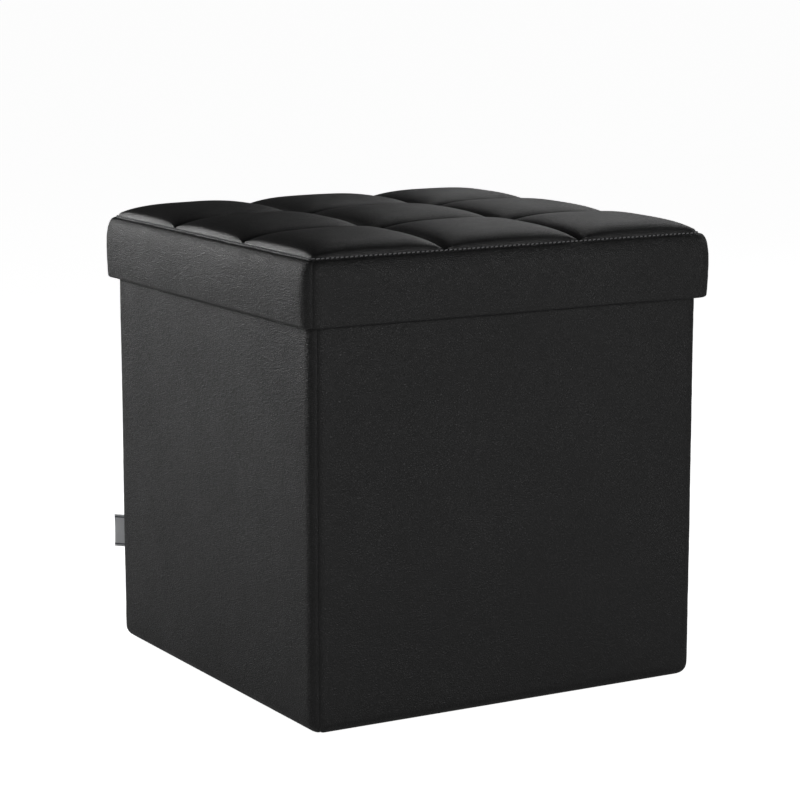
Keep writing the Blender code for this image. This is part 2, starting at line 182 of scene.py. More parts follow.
def fleck_group():
    """Pressed board or foam: fine grains with a few open spots, which the foam colours darker
    as painted shade.
    """
    tree, start, end = group(
        "fine_flecks",
        [("Vector", "NodeSocketVector", None), ("Scale", "NodeSocketFloat", 1500.0),
         ("Spots", "NodeSocketFloat", 0.6)],
        [("Height", "NodeSocketFloat"), ("Spot", "NodeSocketFloat"),
         ("Shade", "NodeSocketFloat")],
    )
    grains = add(tree, "ShaderNodeTexNoise", [("Vector", start.outputs["Vector"]),
                 ("Scale", start.outputs["Scale"]), ("Detail", 4.0), ("Roughness", 0.65)])
    cells = add(tree, "ShaderNodeTexVoronoi", [("Vector", start.outputs["Vector"]),
                ("Scale", start.outputs["Scale"])], feature="F1")
    spot = span(tree, cells.outputs["Distance"], start.outputs["Spots"], 0.0)
    shade = add(tree, "ShaderNodeTexNoise", [("Vector", start.outputs["Vector"]),
                ("Scale", 25.0), ("Detail", 4.0)])
    height = math_node(tree, "SUBTRACT", grains.outputs["Fac"], spot)
    tree.links.new(height, end.inputs["Height"])
    tree.links.new(spot, end.inputs["Spot"])
    tree.links.new(shade.outputs["Fac"], end.inputs["Shade"])
    return tree


def rib_group():
    """Ribbon and label weave: fine ribs one way, thread by thread the other."""
    tree, start, end = group(
        "ribbed_weave",
        [("Vector", "NodeSocketVector", None), ("Rib", "NodeSocketFloat", 900.0),
         ("Thread", "NodeSocketFloat", 1800.0)],
        [("Height", "NodeSocketFloat"), ("Thread", "NodeSocketFloat")],
    )
    parts = add(tree, "ShaderNodeSeparateXYZ", [(0, start.outputs["Vector"])])
    rib = math_node(tree, "MULTIPLY", parts.outputs["Z"], start.outputs["Rib"])
    rib = math_node(tree, "SINE", math_node(tree, "MULTIPLY", rib, math.tau))
    thread = math_node(tree, "MULTIPLY", parts.outputs["X"], start.outputs["Thread"])
    thread = math_node(tree, "SINE", math_node(tree, "MULTIPLY", thread, math.tau))
    both = math_node(tree, "MULTIPLY_ADD", thread, 0.5, rib)
    tree.links.new(both, end.inputs["Height"])
    tree.links.new(span(tree, thread, -1.0, 1.0), end.inputs["Thread"])
    return tree


def new_material(name, colour, **sockets):
    """A material with a constant finish; returns it with its tree, shader and coordinates."""
    material = bpy.data.materials.new(name)
    material.use_nodes = True
    material.diffuse_color = (*colour, 1)
    tree = material.node_tree
    shader = tree.nodes["Principled BSDF"]
    shader.inputs["Base Color"].default_value = (*colour, 1)
    for key, value in sockets.items():
        shader.inputs[key.replace("_", " ")].default_value = value
    coords = tree.nodes.new("ShaderNodeTexCoord").outputs["Object"]
    return material, tree, shader, coords


def place_group(tree, made, coords, **values):
    node = tree.nodes.new("ShaderNodeGroup")
    node.node_tree = made
    tree.links.new(coords, node.inputs["Vector"])
    for key, value in values.items():
        node.inputs[key].default_value = value
    return node.outputs


def two_tones(tree, shader, mask, first, second):
    ramp = add(tree, "ShaderNodeMix", [(0, mask)], data_type="RGBA")
    ramp.inputs["A"].default_value = (*first, 1)
    ramp.inputs["B"].default_value = (*second, 1)
    tree.links.new(ramp.outputs["Result"], shader.inputs["Base Color"])


def raise_surface(tree, shader, height, distance, strength=1.0):
    bump = add(tree, "ShaderNodeBump", [("Height", height), ("Strength", strength),
               ("Distance", distance)])
    tree.links.new(bump.outputs["Normal"], shader.inputs["Normal"])


PEBBLES, FIBRES, FLECKS, RIBS = pebble_group(), unwoven_group(), fleck_group(), rib_group()


def faux_leather(name, rough, pebble, depth, specular):
    made, tree, shader, coords = new_material(name, (0.012, 0.012, 0.0125))
    shader.inputs["Specular IOR Level"].default_value = specular
    grain = place_group(tree, PEBBLES, coords, Pebble=pebble)
    # Painted shade: the creases between the pebbles are coloured darker than the pebbles, on
    # top of their bump.
    two_tones(tree, shader, grain["Crease"], (0.0125, 0.0124, 0.0128), (0.005, 0.005, 0.005))
    uneven = math_node(tree, "MULTIPLY_ADD", grain["Patch"], 0.06, rough)
    uneven = math_node(tree, "MULTIPLY_ADD", grain["Crease"], 0.18, uneven)
    tree.links.new(uneven, shader.inputs["Roughness"])
    raise_surface(tree, shader, grain["Height"], depth)
    return made


def bonded_cloth(name, colour, fibre):
    made, tree, shader, coords = new_material(name, colour, Roughness=0.92)
    shader.inputs["Specular IOR Level"].default_value = 0.25
    shader.inputs["Sheen Weight"].default_value = 0.15
    cloth = place_group(tree, FIBRES, coords)
    two_tones(tree, shader, cloth["Fibre"], colour, fibre)
    raise_surface(tree, shader, cloth["Height"], 0.0002)
    return made


def pressed_board():
    made, tree, shader, coords = new_material("fibreboard", (0.42, 0.30, 0.19), Roughness=0.8)
    flecks = place_group(tree, FLECKS, coords, Scale=1500.0, Spots=0.45)
    two_tones(tree, shader, flecks["Shade"], (0.30, 0.20, 0.12), (0.52, 0.39, 0.25))
    raise_surface(tree, shader, flecks["Height"], 0.00006)
    return made


def open_foam():
    made, tree, shader, coords = new_material("foam", (0.80, 0.76, 0.62), Roughness=0.95)
    flecks = place_group(tree, FLECKS, coords, Scale=800.0, Spots=0.6)
    # Painted shade: the open pits are coloured darker than the foam around them.
    two_tones(tree, shader, flecks["Spot"], (0.80, 0.76, 0.62), (0.55, 0.50, 0.38))
    raise_surface(tree, shader, flecks["Height"], 0.0004)
    return made


def thread_material(name, colour):
    made, tree, shader, coords = new_material(name, colour, Roughness=0.5)
    weave = place_group(tree, RIBS, coords, Rib=3000.0, Thread=3000.0)
    dark = tuple(0.5 * value for value in colour)
    two_tones(tree, shader, weave["Thread"], dark, colour)
    raise_surface(tree, shader, weave["Height"], 0.00005)
    return made


def steel_wire():
    made, tree, shader, coords = new_material("staple_steel", (0.55, 0.55, 0.56), Metallic=1.0)
    flecks = place_group(tree, FLECKS, coords, Scale=2200.0, Spots=0.3)
    two_tones(tree, shader, flecks["Shade"], (0.42, 0.42, 0.43), (0.66, 0.66, 0.67))
    tree.links.new(span(tree, flecks["Spot"], 0.0, 1.0, 0.28, 0.5), shader.inputs["Roughness"])
    return made


def ribbed(name, colour, second, rib, thread, turn=0.0, rough=0.6):
    """Woven ribbon. Its ribs lie across Z, or across X after a turn about Y."""
    made, tree, shader, coords = new_material(name, colour, Roughness=rough)
    turned = add(tree, "ShaderNodeMapping", [("Vector", coords),
                 ("Rotation", (0.0, turn, 0.0))]).outputs[0]
    weave = place_group(tree, RIBS, turned, Rib=rib, Thread=thread)
    two_tones(tree, shader, weave["Thread"], colour, second)
    raise_surface(tree, shader, weave["Height"], 0.00012)
    return made


SKIN_SIDES = faux_leather("black_faux_leather_sides", 0.37, 620.0, 0.00023, 0.38)
SKIN_TOP = faux_leather("black_faux_leather_top", 0.30, 760.0, 0.00012, 0.44)
LINING_CLOTH = bonded_cloth("black_lining", (0.012, 0.012, 0.013), (0.035, 0.035, 0.037))
BOARD, FOAM = pressed_board(), open_foam()
STITCH_THREAD = thread_material("topstitch_thread", (0.36, 0.36, 0.37))
SEAM_THREAD = thread_material("seam_thread", (0.03, 0.03, 0.03))
STEEL = steel_wire()
RIBBON = ribbed("pull_ribbon", (0.010, 0.010, 0.011), (0.04, 0.04, 0.042), 1100.0, 2600.0)
LABEL = ribbed("label_weave", (0.76, 0.77, 0.79), (0.88, 0.89, 0.90), 1500.0, 2600.0)
LABEL_EDGE = ribbed("label_border_weave", (0.10, 0.11, 0.13), (0.16, 0.17, 0.19),
                    1500.0, 2600.0)


# ---------------------------------------------------------------- shared shaping

def deselect():
    for obj in bpy.context.selected_objects:
        obj.select_set(False)


def work_on(obj):
    deselect()
    bpy.context.view_layer.objects.active = obj
    obj.select_set(True)


def apply_all(obj):
    work_on(obj)
    for modifier in list(obj.modifiers):
        bpy.ops.object.modifier_apply(modifier=modifier.name)


def grid(name, columns, rows, place):
    """A grid whose point in column i and row j lies at place(i, j)."""
    deselect()
    bpy.ops.mesh.primitive_grid_add(x_subdivisions=columns - 1, y_subdivisions=rows - 1, size=2)
    obj = bpy.context.object
    obj.name = obj.data.name = name
    for vert in obj.data.vertices:
        i = round((vert.co.x + 1) / 2 * (columns - 1))
        j = round((vert.co.y + 1) / 2 * (rows - 1))
        vert.co = place(i, j)
    return obj


def face_out(obj, point, direction):
    """Turns every face over if the one nearest a point looks against a direction."""
    nearest = min(obj.data.polygons, key=lambda face: (face.center - Vector(point)).length)
    if nearest.normal.dot(Vector(direction)) < 0:
        obj.data.flip_normals()


def thicken(obj, thickness, offset=-1):
    """Gives a sheet its thickness: behind its outer face, or both ways with offset 0."""
    solid = obj.modifiers.new("thickness", "SOLIDIFY")
    solid.thickness, solid.offset = thickness, offset
    apply_all(obj)


def finish(obj, material, body, smooth=40):
    obj.data.materials.clear()
    obj.data.materials.append(material)
    work_on(obj)
    bpy.ops.object.shade_smooth_by_angle(angle=math.radians(smooth))
    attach(obj, body)
    return obj


def turned(point, quarter):
    return Matrix.Rotation(math.radians(90) * quarter, 3, "Z") @ Vector(point)


def square_point(share, angle, half, centre):
    """A point on the front of a round-cornered square, and the way out from there.

    share runs from -1 to 1 along the straight, and angle goes on round the corner past it."""
    radius = max(half - centre, 0.0002)
    straight = half - radius
    lean = math.copysign(angle, share)
    out = Vector((math.sin(lean), -math.cos(lean), 0))
    return Vector((share * straight, -straight, 0)) + radius * out, out


def side_columns(straight_steps, corner_steps):
    """Columns from one upright seam to the next, as (share, angle, distance from the seam)."""
    quarter = math.radians(45)
    left = [(-1.0, (quarter - SEAM_TURN) * (1 - i / corner_steps)) for i in range(corner_steps)]
    middle = [(-1 + 2 * i / straight_steps, 0.0) for i in range(straight_steps + 1)]
    right = [(1.0, (quarter + SEAM_TURN) * (i + 1) / corner_steps) for i in range(corner_steps)]
    columns = left + middle + right
    return [columns[0], *columns, columns[-1]]


def seam_pull(distance, deep=0.0008, reach=0.0013):
    """How far cloth is drawn in near a sewn seam."""
    return deep * math.exp(-distance / reach)


def soft_noise(point, size, seed):
    return noise.noise(Vector(point) / size + Vector((seed, 2 * seed, 3 * seed)))


def arc(across, up, radius, start, end, steps):
    made = []
    for i in range(steps + 1):
        angle = math.radians(start + (end - start) * i / steps)
        made.append((across + radius * math.cos(angle), up + radius * math.sin(angle)))
    return made


def line(first, last, steps):
    return [
        tuple(a + (b - a) * i / steps for a, b in zip(first, last)) for i in range(steps + 1)
    ]


def path_length(path):
    return sum((Vector(b) - Vector(a)).length for a, b in zip(path, path[1:]))


def sewn_panel(name, quarter, profile, centre, straight_steps, relief, allowance=0.0035):
    """One panel of a four-sided cover. Its two upright edges are turned in at the seams."""
    columns = side_columns(straight_steps, 8)
    lengths = [0.0]
    radius = profile[len(profile) // 2][0] - centre
    for before, after in zip(columns, columns[1:]):
        step = abs(after[0] - before[0]) * centre + abs(after[1] - before[1]) * radius
        lengths.append(lengths[-1] + step)
    total = lengths[-1]
    last = len(columns) - 1

    def place(i, j):
        share, angle = columns[i]
        half, height = profile[j]
        point, out = square_point(share, angle, half, centre)
        seam = min(lengths[i], total - lengths[i])
        inwards = allowance if i in (0, last) else seam_pull(seam)
        across = (Vector(profile[min(j + 1, len(profile) - 1)])
                  - Vector(profile[max(j - 1, 0)])).normalized()
        normal = out * across.y + Vector((0, 0, -across.x))
        shift = relief(lengths[i] - total / 2, j, seam) - inwards
        return turned(point + Vector((0, 0, height)) + normal * shift, quarter)

    return grid(name, len(columns), len(profile), place)


# ---------------------------------------------------------------- box

def box_profile():
    """The cover's outer face, from its hem under the box round to its hem inside the rim."""
    foot, rim = BOX_HALF - FOOT, BOX_HALF - RIM_ROUND
    inner = RETURN_FACE + HEM_ROUND
    made = line((foot - FLANGE, BOX_LOW), (foot, BOX_LOW), 6)[:-1]
    made += arc(foot, BOX_LOW + FOOT, FOOT, -90, 0, 9)
    made += line((BOX_HALF, BOX_LOW + FOOT), (BOX_HALF, RIM - RIM_ROUND), 64)[1:-1]
    made += arc(rim, RIM - RIM_ROUND, RIM_ROUND, 0, 90, 6)
    made += arc(inner, RIM - HEM_ROUND, HEM_ROUND, 90, 180, 3)
    made += line((RETURN_FACE, RIM - HEM_ROUND), (RETURN_FACE, RIM - RETURN_DEPTH), 6)[1:]
    return made


def make_box_cover():
    profile = box_profile()
    for quarter, side in enumerate(SIDES):

        def relief(along, j, seam):
            height = profile[j][1]
            wall = min(1, max(0, (height - BOX_LOW) / 0.02))
            wall *= min(1, max(0, (RIM - height) / 0.02))
            spot = (along, height, quarter)
            slack = 0.00035 * soft_noise(spot, 0.09, 3) + 0.00012 * soft_noise(spot, 0.03, 5)
            pucker = 0.00022 * math.exp(-seam / 0.007) * soft_noise(spot, 0.006, 7)
            return wall * (slack + pucker + 0.0003)

        panel = sewn_panel(f"{side}_cover", quarter, profile, BOX_HALF - BOX_CORNER, 72, relief)
        face_out(panel, turned((0, -BOX_HALF, RIM / 2), quarter), turned((0, -1, 0), quarter))
        thicken(panel, SKIN)
        finish(panel, SKIN_SIDES, "box")
        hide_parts(f"{side}_cover_panel")
        path_length(profile)


# ---------------------------------------------------------------- lid

def band_profile():
    """The band's outer face, from its hem round its lower edge and up to the top seam."""
    outer = LID_HALF - TUCK
    seam_half = LID_HALF - SEAM_IN
    made = [(seam_half - 0.0006, SEAM - 0.0030), (seam_half - 0.0004, SEAM - 0.0016),
            (seam_half - 0.0001, SEAM - 0.0006)]
    power = 2 / 2.4
    for i in range(19):
        angle = math.radians(90) * (1 - i / 18)
        across, up = max(math.cos(angle), 0) ** power, max(math.sin(angle), 0) ** power
        made.append((seam_half + SEAM_IN * across, SEAM - SHOULDER * (1 - up)))
    low = SKIRT + HEM_ROUND
    for i in range(1, 14):
        share = i / 14
        height = SEAM - SHOULDER + (low - SEAM + SHOULDER) * share
        made.append((LID_HALF - TUCK * share**2, height))
    made += arc(outer - HEM_ROUND, low, HEM_ROUND, 0, -90, 4)
    leg = LEG_FACE + HEM_ROUND
    made += arc(leg, low, HEM_ROUND, -90, -180, 3)
    made += line((LEG_FACE, low), (LEG_FACE, lid_lining_low.z - 0.0004), 5)[1:]
    return made[::-1]


def make_lid_band():
    profile = band_profile()
    for quarter, side in enumerate(SIDES):

        def relief(along, j, seam):
            height = profile[j][1]
            outside = 1 if profile[j][0] > LID_HALF - SEAM_IN - 0.0005 else 0
            spot = (along, height, quarter + 9)
            near_top = math.exp(-(SEAM - height) / 0.007)
            ripple = near_top * (0.00040 * soft_noise((along, 0, quarter), 0.011, 2)
                                 + 0.00018 * soft_noise((along, 0, quarter), 0.004, 4))
            slack = 0.00050 * soft_noise(spot, 0.05, 6) + 0.00015 * soft_noise(spot, 0.018, 8)
            pucker = 0.00025 * math.exp(-seam / 0.006) * soft_noise(spot, 0.005, 7)
            return outside * (ripple + slack * (1 - near_top) + pucker)

        band = sewn_panel(f"{side}_band", quarter, profile, LID_HALF - LID_CORNER, 110, relief)
        middle = turned((0, -LID_HALF, SEAM - SHOULDER), quarter)
        face_out(band, middle, turned((0, -1, 0), quarter))
        thicken(band, SKIN)
        finish(band, SKIN_SIDES, "lid")
        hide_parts(f"{side}_lid_band")
        path_length(profile)


def ring_point(i, j, rings, ring_place, corner, widest):
    """A point of a grid laid out in square rings. ring_place(ring) is (half width, height)."""
    u, v = i - rings, j - rings
    ring = max(abs(u), abs(v))
    half, height = ring_place(ring)
    if ring == 0:
        return Vector((0, 0, height))
    x, y = u / ring * half, v / ring * half
    radius = max(corner - (widest - half), 0.0)
    straight = half - radius
    if abs(x) > straight and abs(y) > straight:
        over_x, over_y = abs(x) - straight, abs(y) - straight
        shrink = max(over_x, over_y) / math.hypot(over_x, over_y)
        x = math.copysign(straight + over_x * shrink, x)
        y = math.copysign(straight + over_y * shrink, y)
    return Vector((x, y, height))


def quilt_rise(x, y):
    """How high the quilting stands over the seam: nine smooth pillows, before stuffing."""
    def puff(at):
        at = min(abs(at), TOP_HALF)
        if at <= CHANNEL:
            across = at / CHANNEL
        else:
            middle = (CHANNEL + TOP_HALF) / 2
            across = abs(at - middle) / (TOP_HALF - middle)
        return max(1 - across**3.2, 0) ** 0.44

    dome = (1 - min(1, abs(x) / TOP_HALF) ** 2) * (1 - min(1, abs(y) / TOP_HALF) ** 2)
    return SWAY * dome + PILLOW * puff(x) * puff(y)


def make_lid_cushion():
    """The quilted top over its foam, blown up between its sewn lines."""
    inner = TOP_HALF * (TOP_RINGS - 1) / TOP_RINGS
    tail = [(TOP_HALF - inwards, SEAM + up) for inwards, up in (
        (0.0022, -0.0001), (0.0018, 0.0003), (0.0013, 0.0008), (0.0008, 0.0008),
        (0.0003, 0.0003), (0.0001, -0.0006), (0.0003, -0.0022), (0.0008, -TAIL_DROP))]
    rings = TOP_RINGS - 1 + len(tail)

    def ring_place(ring):
        if ring < TOP_RINGS:
            return TOP_HALF * ring / TOP_RINGS, SEAM
        return tail[ring - TOP_RINGS]

    def place(i, j):
        point = ring_point(i, j, rings, ring_place, LID_CORNER - SEAM_IN, TOP_HALF)
        if max(abs(i - rings), abs(j - rings)) < TOP_RINGS:
            point.z += STUFFED * quilt_rise(point.x, point.y)
            point.z += 0.0002 * soft_noise(point, 0.03, 11)
        return point

    count = 2 * rings + 1
    cushion = grid("lid_cushion", count, count, place)
    face_out(cushion, (0, 0, CROWN), (0, 0, 1))
    start = [vert.co.copy() for vert in cushion.data.vertices]
    sewn = cushion.vertex_groups.new(name="sewn")
    held, free = [], []
    for vert in cushion.data.vertices:
        i, j = ring_index(vert.co.x), ring_index(vert.co.y)
        edge = max(abs(vert.co.x), abs(vert.co.y)) > inner - 0.0001
        (held if edge or CHANNEL_RING in (i, j) else free).append(vert.index)
    sewn.add(held, 1.0, "REPLACE")
    loose = cushion.vertex_groups.new(name="loose")
    loose.add(free, 1.0, "REPLACE")
    cloth = cushion.modifiers.new("stuffing", "CLOTH")
    settings = cloth.settings
    settings.quality = 6
    settings.mass = 0.25
    settings.tension_stiffness = settings.compression_stiffness = 40
    settings.shear_stiffness = 20
    settings.bending_stiffness = 8
    settings.use_pressure = True
    settings.uniform_pressure_force = 4
    settings.vertex_group_mass = "sewn"
    settings.effector_weights.gravity = 0
    scene = bpy.context.scene
    for number in range(1, STUFFING_FRAMES + 1):
        scene.frame_set(number)
    apply_all(cushion)
    scene.frame_set(1)
    for vert, rest in zip(cushion.data.vertices, start):
        move = vert.co - rest
        if move.length > MOST_MOVE:
            vert.co = rest + move * (MOST_MOVE / move.length)
    soften = cushion.modifiers.new("even tension", "SMOOTH")
    soften.factor, soften.iterations, soften.vertex_group = 0.5, 2, "loose"
    apply_all(cushion)
    work_on(cushion)
    bpy.ops.object.mode_set(mode="EDIT")
    bpy.ops.mesh.select_mode(type="VERT")
    bpy.ops.mesh.select_all(action="DESELECT")
    bpy.ops.mesh.select_non_manifold()
    bpy.ops.mesh.extrude_region_move()
    bpy.ops.transform.resize(value=(0.985, 0.985, 1), center_override=(0, 0, 0))
    down = (0, 0, foam_low.z - SEAM + TAIL_DROP)
    bpy.ops.mesh.extrude_region_move(TRANSFORM_OT_translate={"value": down})
    bpy.ops.mesh.edge_face_add()
    bpy.ops.object.mode_set(mode="OBJECT")
    finish(cushion, SKIN_TOP, "lid", smooth=60)
    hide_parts("lid_foam", "lid_top_cover")
    return cushion


def ring_index(value):
    return round(abs(value) / TOP_HALF * TOP_RINGS)


# ---------------------------------------------------------------- stitches and staples

def stamp(name, pattern, places, material, body):
    """One piece joined from copies of a pattern, one at each place."""
    copies = []
    for matrix in places:
        copy = bpy.data.objects.new(name, pattern.data.copy())
        bpy.context.scene.collection.objects.link(copy)
        copy.matrix_world = matrix
        copies.append(copy)
    deselect()
    for copy in copies:
        copy.select_set(True)
    bpy.context.view_layer.objects.active = copies[0]
    bpy.ops.object.join()
    bpy.ops.object.transform_apply()
    piece = bpy.context.object
    piece.name = piece.data.name = name
    return finish(piece, material, body, smooth=50)


def pick_faces(obj, wanted):
    """Selects the faces of the mesh being edited that wanted() says yes to."""
    bpy.ops.mesh.select_all(action="DESELECT")
    mesh = bmesh.from_edit_mesh(obj.data)
    for face in mesh.faces:
        face.select_set(bool(wanted(face)))
    bmesh.update_edit_mesh(obj.data)


def stitch_pattern(length, thickness):
    """One stitch along X: thread that dips into the cloth at both ends."""
    deselect()
    bpy.ops.mesh.primitive_cylinder_add(vertices=6, radius=thickness / 2, depth=0.4 * length,
                                        rotation=(0, math.pi / 2, 0))
    bpy.ops.object.transform_apply()
    stitch = bpy.context.object
    bpy.ops.object.mode_set(mode="EDIT")
    bpy.ops.mesh.select_mode(type="FACE")
    for way in (-1, 1):
        pick_faces(stitch, lambda face: face.normal.x * way > 0.9)
        for step, drop, share in ((0.18, 0.16, 0.94), (0.12, 0.42, 0.72)):
            move = (way * step * length, 0, -drop * thickness)
            bpy.ops.mesh.extrude_region_move(TRANSFORM_OT_translate={"value": move})
            bpy.ops.transform.resize(value=(1, share, share))
    bpy.ops.object.mode_set(mode="OBJECT")
    return put_aside(stitch)


def staple_pattern():
    """The crown of one staple along X, with its bent shoulders, lying on a face at z 0."""
    deselect()
    bpy.ops.mesh.primitive_cube_add(size=1, location=(0, 0, 0.00020),
                                    scale=(0.0096, 0.0011, 0.00045))
    bpy.ops.object.transform_apply()
    staple = bpy.context.object
    bpy.ops.object.mode_set(mode="EDIT")
    bpy.ops.mesh.select_mode(type="FACE")
    for way in (-1, 1):
        pick_faces(staple, lambda face: face.normal.x * way > 0.9)
        for move in ((way * 0.0004, 0, -0.00012), (way * 0.0001, 0, -0.0005)):
            bpy.ops.mesh.extrude_region_move(TRANSFORM_OT_translate={"value": move})
    bpy.ops.mesh.select_all(action="SELECT")
    bpy.ops.mesh.bevel(offset=0.00012, segments=1)
    bpy.ops.object.mode_set(mode="OBJECT")
    return put_aside(staple)


def put_aside(pattern):
    """A pattern is only copied, so it isn't in the scene itself."""
    bpy.context.scene.collection.objects.unlink(pattern)
    return pattern


def frame_at(point, along, up):
    """Matrix that lays a pattern at a point, its X along and its Z up."""
    x = Vector(along).normalized()
    y = Vector(up).cross(x).normalized()
    turn = Matrix((x, y, x.cross(y))).transposed()
    return Matrix.Translation(point) @ turn.to_4x4()


def square_walk(half, corner, pitch):
    """Points and directions at one pitch round a round-cornered square."""
    straight = half - corner
    made = []
    for quarter in range(4):
        steps = round(2 * straight / pitch)
        for i in range(steps):
            x = -straight + 2 * straight * (i + 0.5) / steps
            made.append((turned((x, -half, 0), quarter), turned((1, 0, 0), quarter)))
        turns = max(1, round(corner * math.pi / 2 / pitch))
        for i in range(turns):
            angle = math.pi / 2 * (i + 0.5) / turns
            point = Vector((straight, -straight, 0)) + corner * Vector(
                (math.sin(angle), -math.cos(angle), 0))
            along = Vector((math.cos(angle), math.sin(angle), 0))
            made.append((turned(point, quarter), turned(along, quarter)))
    return made


STITCH = stitch_pattern(0.0024, 0.0007)
TOPSTITCH = stitch_pattern(0.0031, 0.0011)
STAPLE = staple_pattern()
TOPSTITCH_PITCH, TOPSTITCH_SLANT = 0.0042, math.radians(14)
QUILT_PITCH = 0.0034
TAB_PITCH = 0.003
WALL_STAPLES, BASE_STAPLES = 7, 9  # in one row


def make_lid_stitches(cushion):
    """Topstitching just inside the lid's seam, and the stitches that quilt it."""
    surface = BVHTree.FromObject(cushion, bpy.context.evaluated_depsgraph_get())

    def on_top(point, along, sink, slant=0.0):
        hit, normal, _, _ = surface.ray_cast(Vector((point.x, point.y, 1)), Vector((0, 0, -1)))
        along = Matrix.Rotation(slant, 3, "Z") @ along
        flat = (along - normal * along.dot(normal)).normalized()
        return frame_at(hit - normal * sink, flat, normal)

    walk = square_walk(TOP_HALF - 0.0010, LID_CORNER - SEAM_IN, TOPSTITCH_PITCH)
    edge = [on_top(point, along, -0.00025, TOPSTITCH_SLANT) for point, along in walk]
    stamp("lid_topstitching", TOPSTITCH, edge, STITCH_THREAD, "lid")
    quilt = []
    reach = TOP_HALF - 0.004
    count = round(2 * reach / QUILT_PITCH)
    for i in range(count):
        at = -reach + 2 * reach * (i + 0.5) / count
        for side in (-CHANNEL, CHANNEL):
            quilt.append(on_top(Vector((at, side, 0)), Vector((1, 0, 0)), 0.00005))
            quilt.append(on_top(Vector((side, at, 0)), Vector((0, 1, 0)), 0.00005))
    stamp("lid_quilting_stitches", STITCH, quilt, SEAM_THREAD, "lid")


def wall_staples(name, half, height, body):
    """Staples in a row round the inside of a wall."""
    places = []
    for quarter in range(4):
        for i in range(WALL_STAPLES):
            x = (i - (WALL_STAPLES - 1) / 2) * half * 0.27
            point = turned((x, -half, height), quarter)
            along = turned((1, 0, 0.12 * (-1) ** i), quarter)
            places.append(frame_at(point, along, turned((0, 1, 0), quarter)))
    stamp(name, STAPLE, places, STEEL, body)


def base_staples():
    places = []
    half = base_high.x - 0.007
    for quarter in range(4):
        for i in range(BASE_STAPLES):
            x = (i - (BASE_STAPLES - 1) / 2) * half * 0.23
            point = turned((x, -half, base_low.z + 0.0001), quarter)
            along = turned((1, 0.16 * (-1) ** i, 0), quarter)
            places.append(frame_at(point, along, (0, 0, -1)))
    stamp("base_staples", STAPLE, places, STEEL, "box")


# ---------------------------------------------------------------- linings and floor

def make_wall_lining():
    """Cloth all round the inside of the box, with soft folds in its corners."""
    centre = BOX_HALF - BOX_CORNER
    inner = LINING_HALF - CLOTH
    around = []
    columns, turns, rows = 44, 4, 60
    for quarter in range(4):
        for i in range(columns):
            around.append((quarter, -1 + 2 * i / columns, 0.0))
        for i in range(turns):
            around.append((quarter, 1.0, math.radians(90) * i / turns))
    around.append(around[0])

    def place(i, j):
        quarter, share, angle = around[i]
        point, out = square_point(share, angle, inner, centre)
        height = lining_low.z + (lining_high.z - lining_low.z) * j / (rows - 1)
        spot = (share * inner, height, quarter * 3.0)
        corner = math.exp(-(1 - abs(share)) * inner / 0.02)
        ends = min(1, (lining_high.z - height) / 0.03)
        fold = 0.5 + 0.5 * soft_noise((share * inner, height * 0.25, quarter), 0.022, 5)
        slack = 0.0005 + 0.0006 * soft_noise(spot, 0.06, 3)
        inwards = max(0.0, ends * (slack + 0.0011 * corner * fold))
        return turned(point - out * inwards + Vector((0, 0, height)), quarter)

    lining = grid("wall_lining_cloth", len(around), rows, place)
    work_on(lining)
    bpy.ops.object.mode_set(mode="EDIT")
    bpy.ops.mesh.select_all(action="SELECT")
    bpy.ops.mesh.remove_doubles(threshold=0.00001)
    bpy.ops.object.mode_set(mode="OBJECT")
    face_out(lining, (0, -inner, RIM / 2), (0, 1, 0))
    thicken(lining, CLOTH)
    finish(lining, LINING_CLOTH, "box")
    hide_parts("wall_lining")


def flat_cloth(name, half, corner, height, cells, tail, relief, up, body, node):
    """A flat sheet laid out in square rings, with a tail of rings folded over its edge."""
    rings = cells + len(tail)

    def ring_place(ring):
        if ring <= cells:
            return half * ring / cells, height
        return tail[ring - cells - 1]

    def place(i, j):
        point = ring_point(i, j, rings, ring_place, corner, half)
        if max(abs(i - rings), abs(j - rings)) <= cells:
            point.z += up * relief(point)
        return point

    count = 2 * rings + 1
    cloth = grid(name, count, count, place)
    face_out(cloth, (0, 0, height), (0, 0, up))
    thicken(cloth, CLOTH)
    finish(cloth, LINING_CLOTH, body)
    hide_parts(node)
    return cloth


def make_floor_cloth():
    hem, low, high, half = 0.025, floor_low.z, floor_high.z, floor_high.x
    inside = half - FLOOR_EDGE
    tail = arc(inside, high - FLOOR_EDGE, FLOOR_EDGE, 75, 0, 3)
    tail.append((half, low + FLOOR_EDGE))
    tail += arc(inside, low + FLOOR_EDGE, FLOOR_EDGE, -30, -90, 2)
    tail += line((inside, low), (half - hem, low), 5)[1:]

    def relief(point):
        edge = max(abs(point.x), abs(point.y)) / half
        return (1 - edge**6) * (0.00035 * soft_noise(point, 0.07, 4)
                                + 0.00012 * soft_noise(point, 0.02, 6) - 0.0001)

    cloth = flat_cloth("floor_cloth", inside, 0.003, high, 40, tail, relief, 1,
                       "floor", "floor_board_cover")


def make_lid_lining():
    half = lid_lining_high.x

    def relief(point):
        edge = max(abs(point.x), abs(point.y)) / half
        return (1 - edge**8) * (0.0001 + 0.0003 * soft_noise(point, 0.05, 9)
                                + 0.0001 * soft_noise(point, 0.016, 7))

    cloth = flat_cloth("lid_lining_cloth", half, 0.008, lid_lining_low.z, 44, [], relief, -1,
                       "lid", "lid_lining")


def make_base_cloth():
    half = base_high.x

    def relief(point):
        edge = max(abs(point.x), abs(point.y)) / half
        return -(1 - edge**8) * max(0, 0.0001 + 0.0001 * soft_noise(point, 0.05, 8))

    cloth = flat_cloth("base_cloth_sheet", half, 0.004, base_low.z, 40, [], relief, -1,
                       "box", "base_cloth")


def folded_path(length, apart, steps):
    """Middle line of a strip folded in two at its far end, as (along, across)."""
    radius = apart / 2
    made = line((0, -radius), (length - radius, -radius), steps)[:-1]
    made += arc(length - radius, 0, radius, -90, 90, 8)
    return made + line((length - radius, radius), (0, radius), steps)[1:]


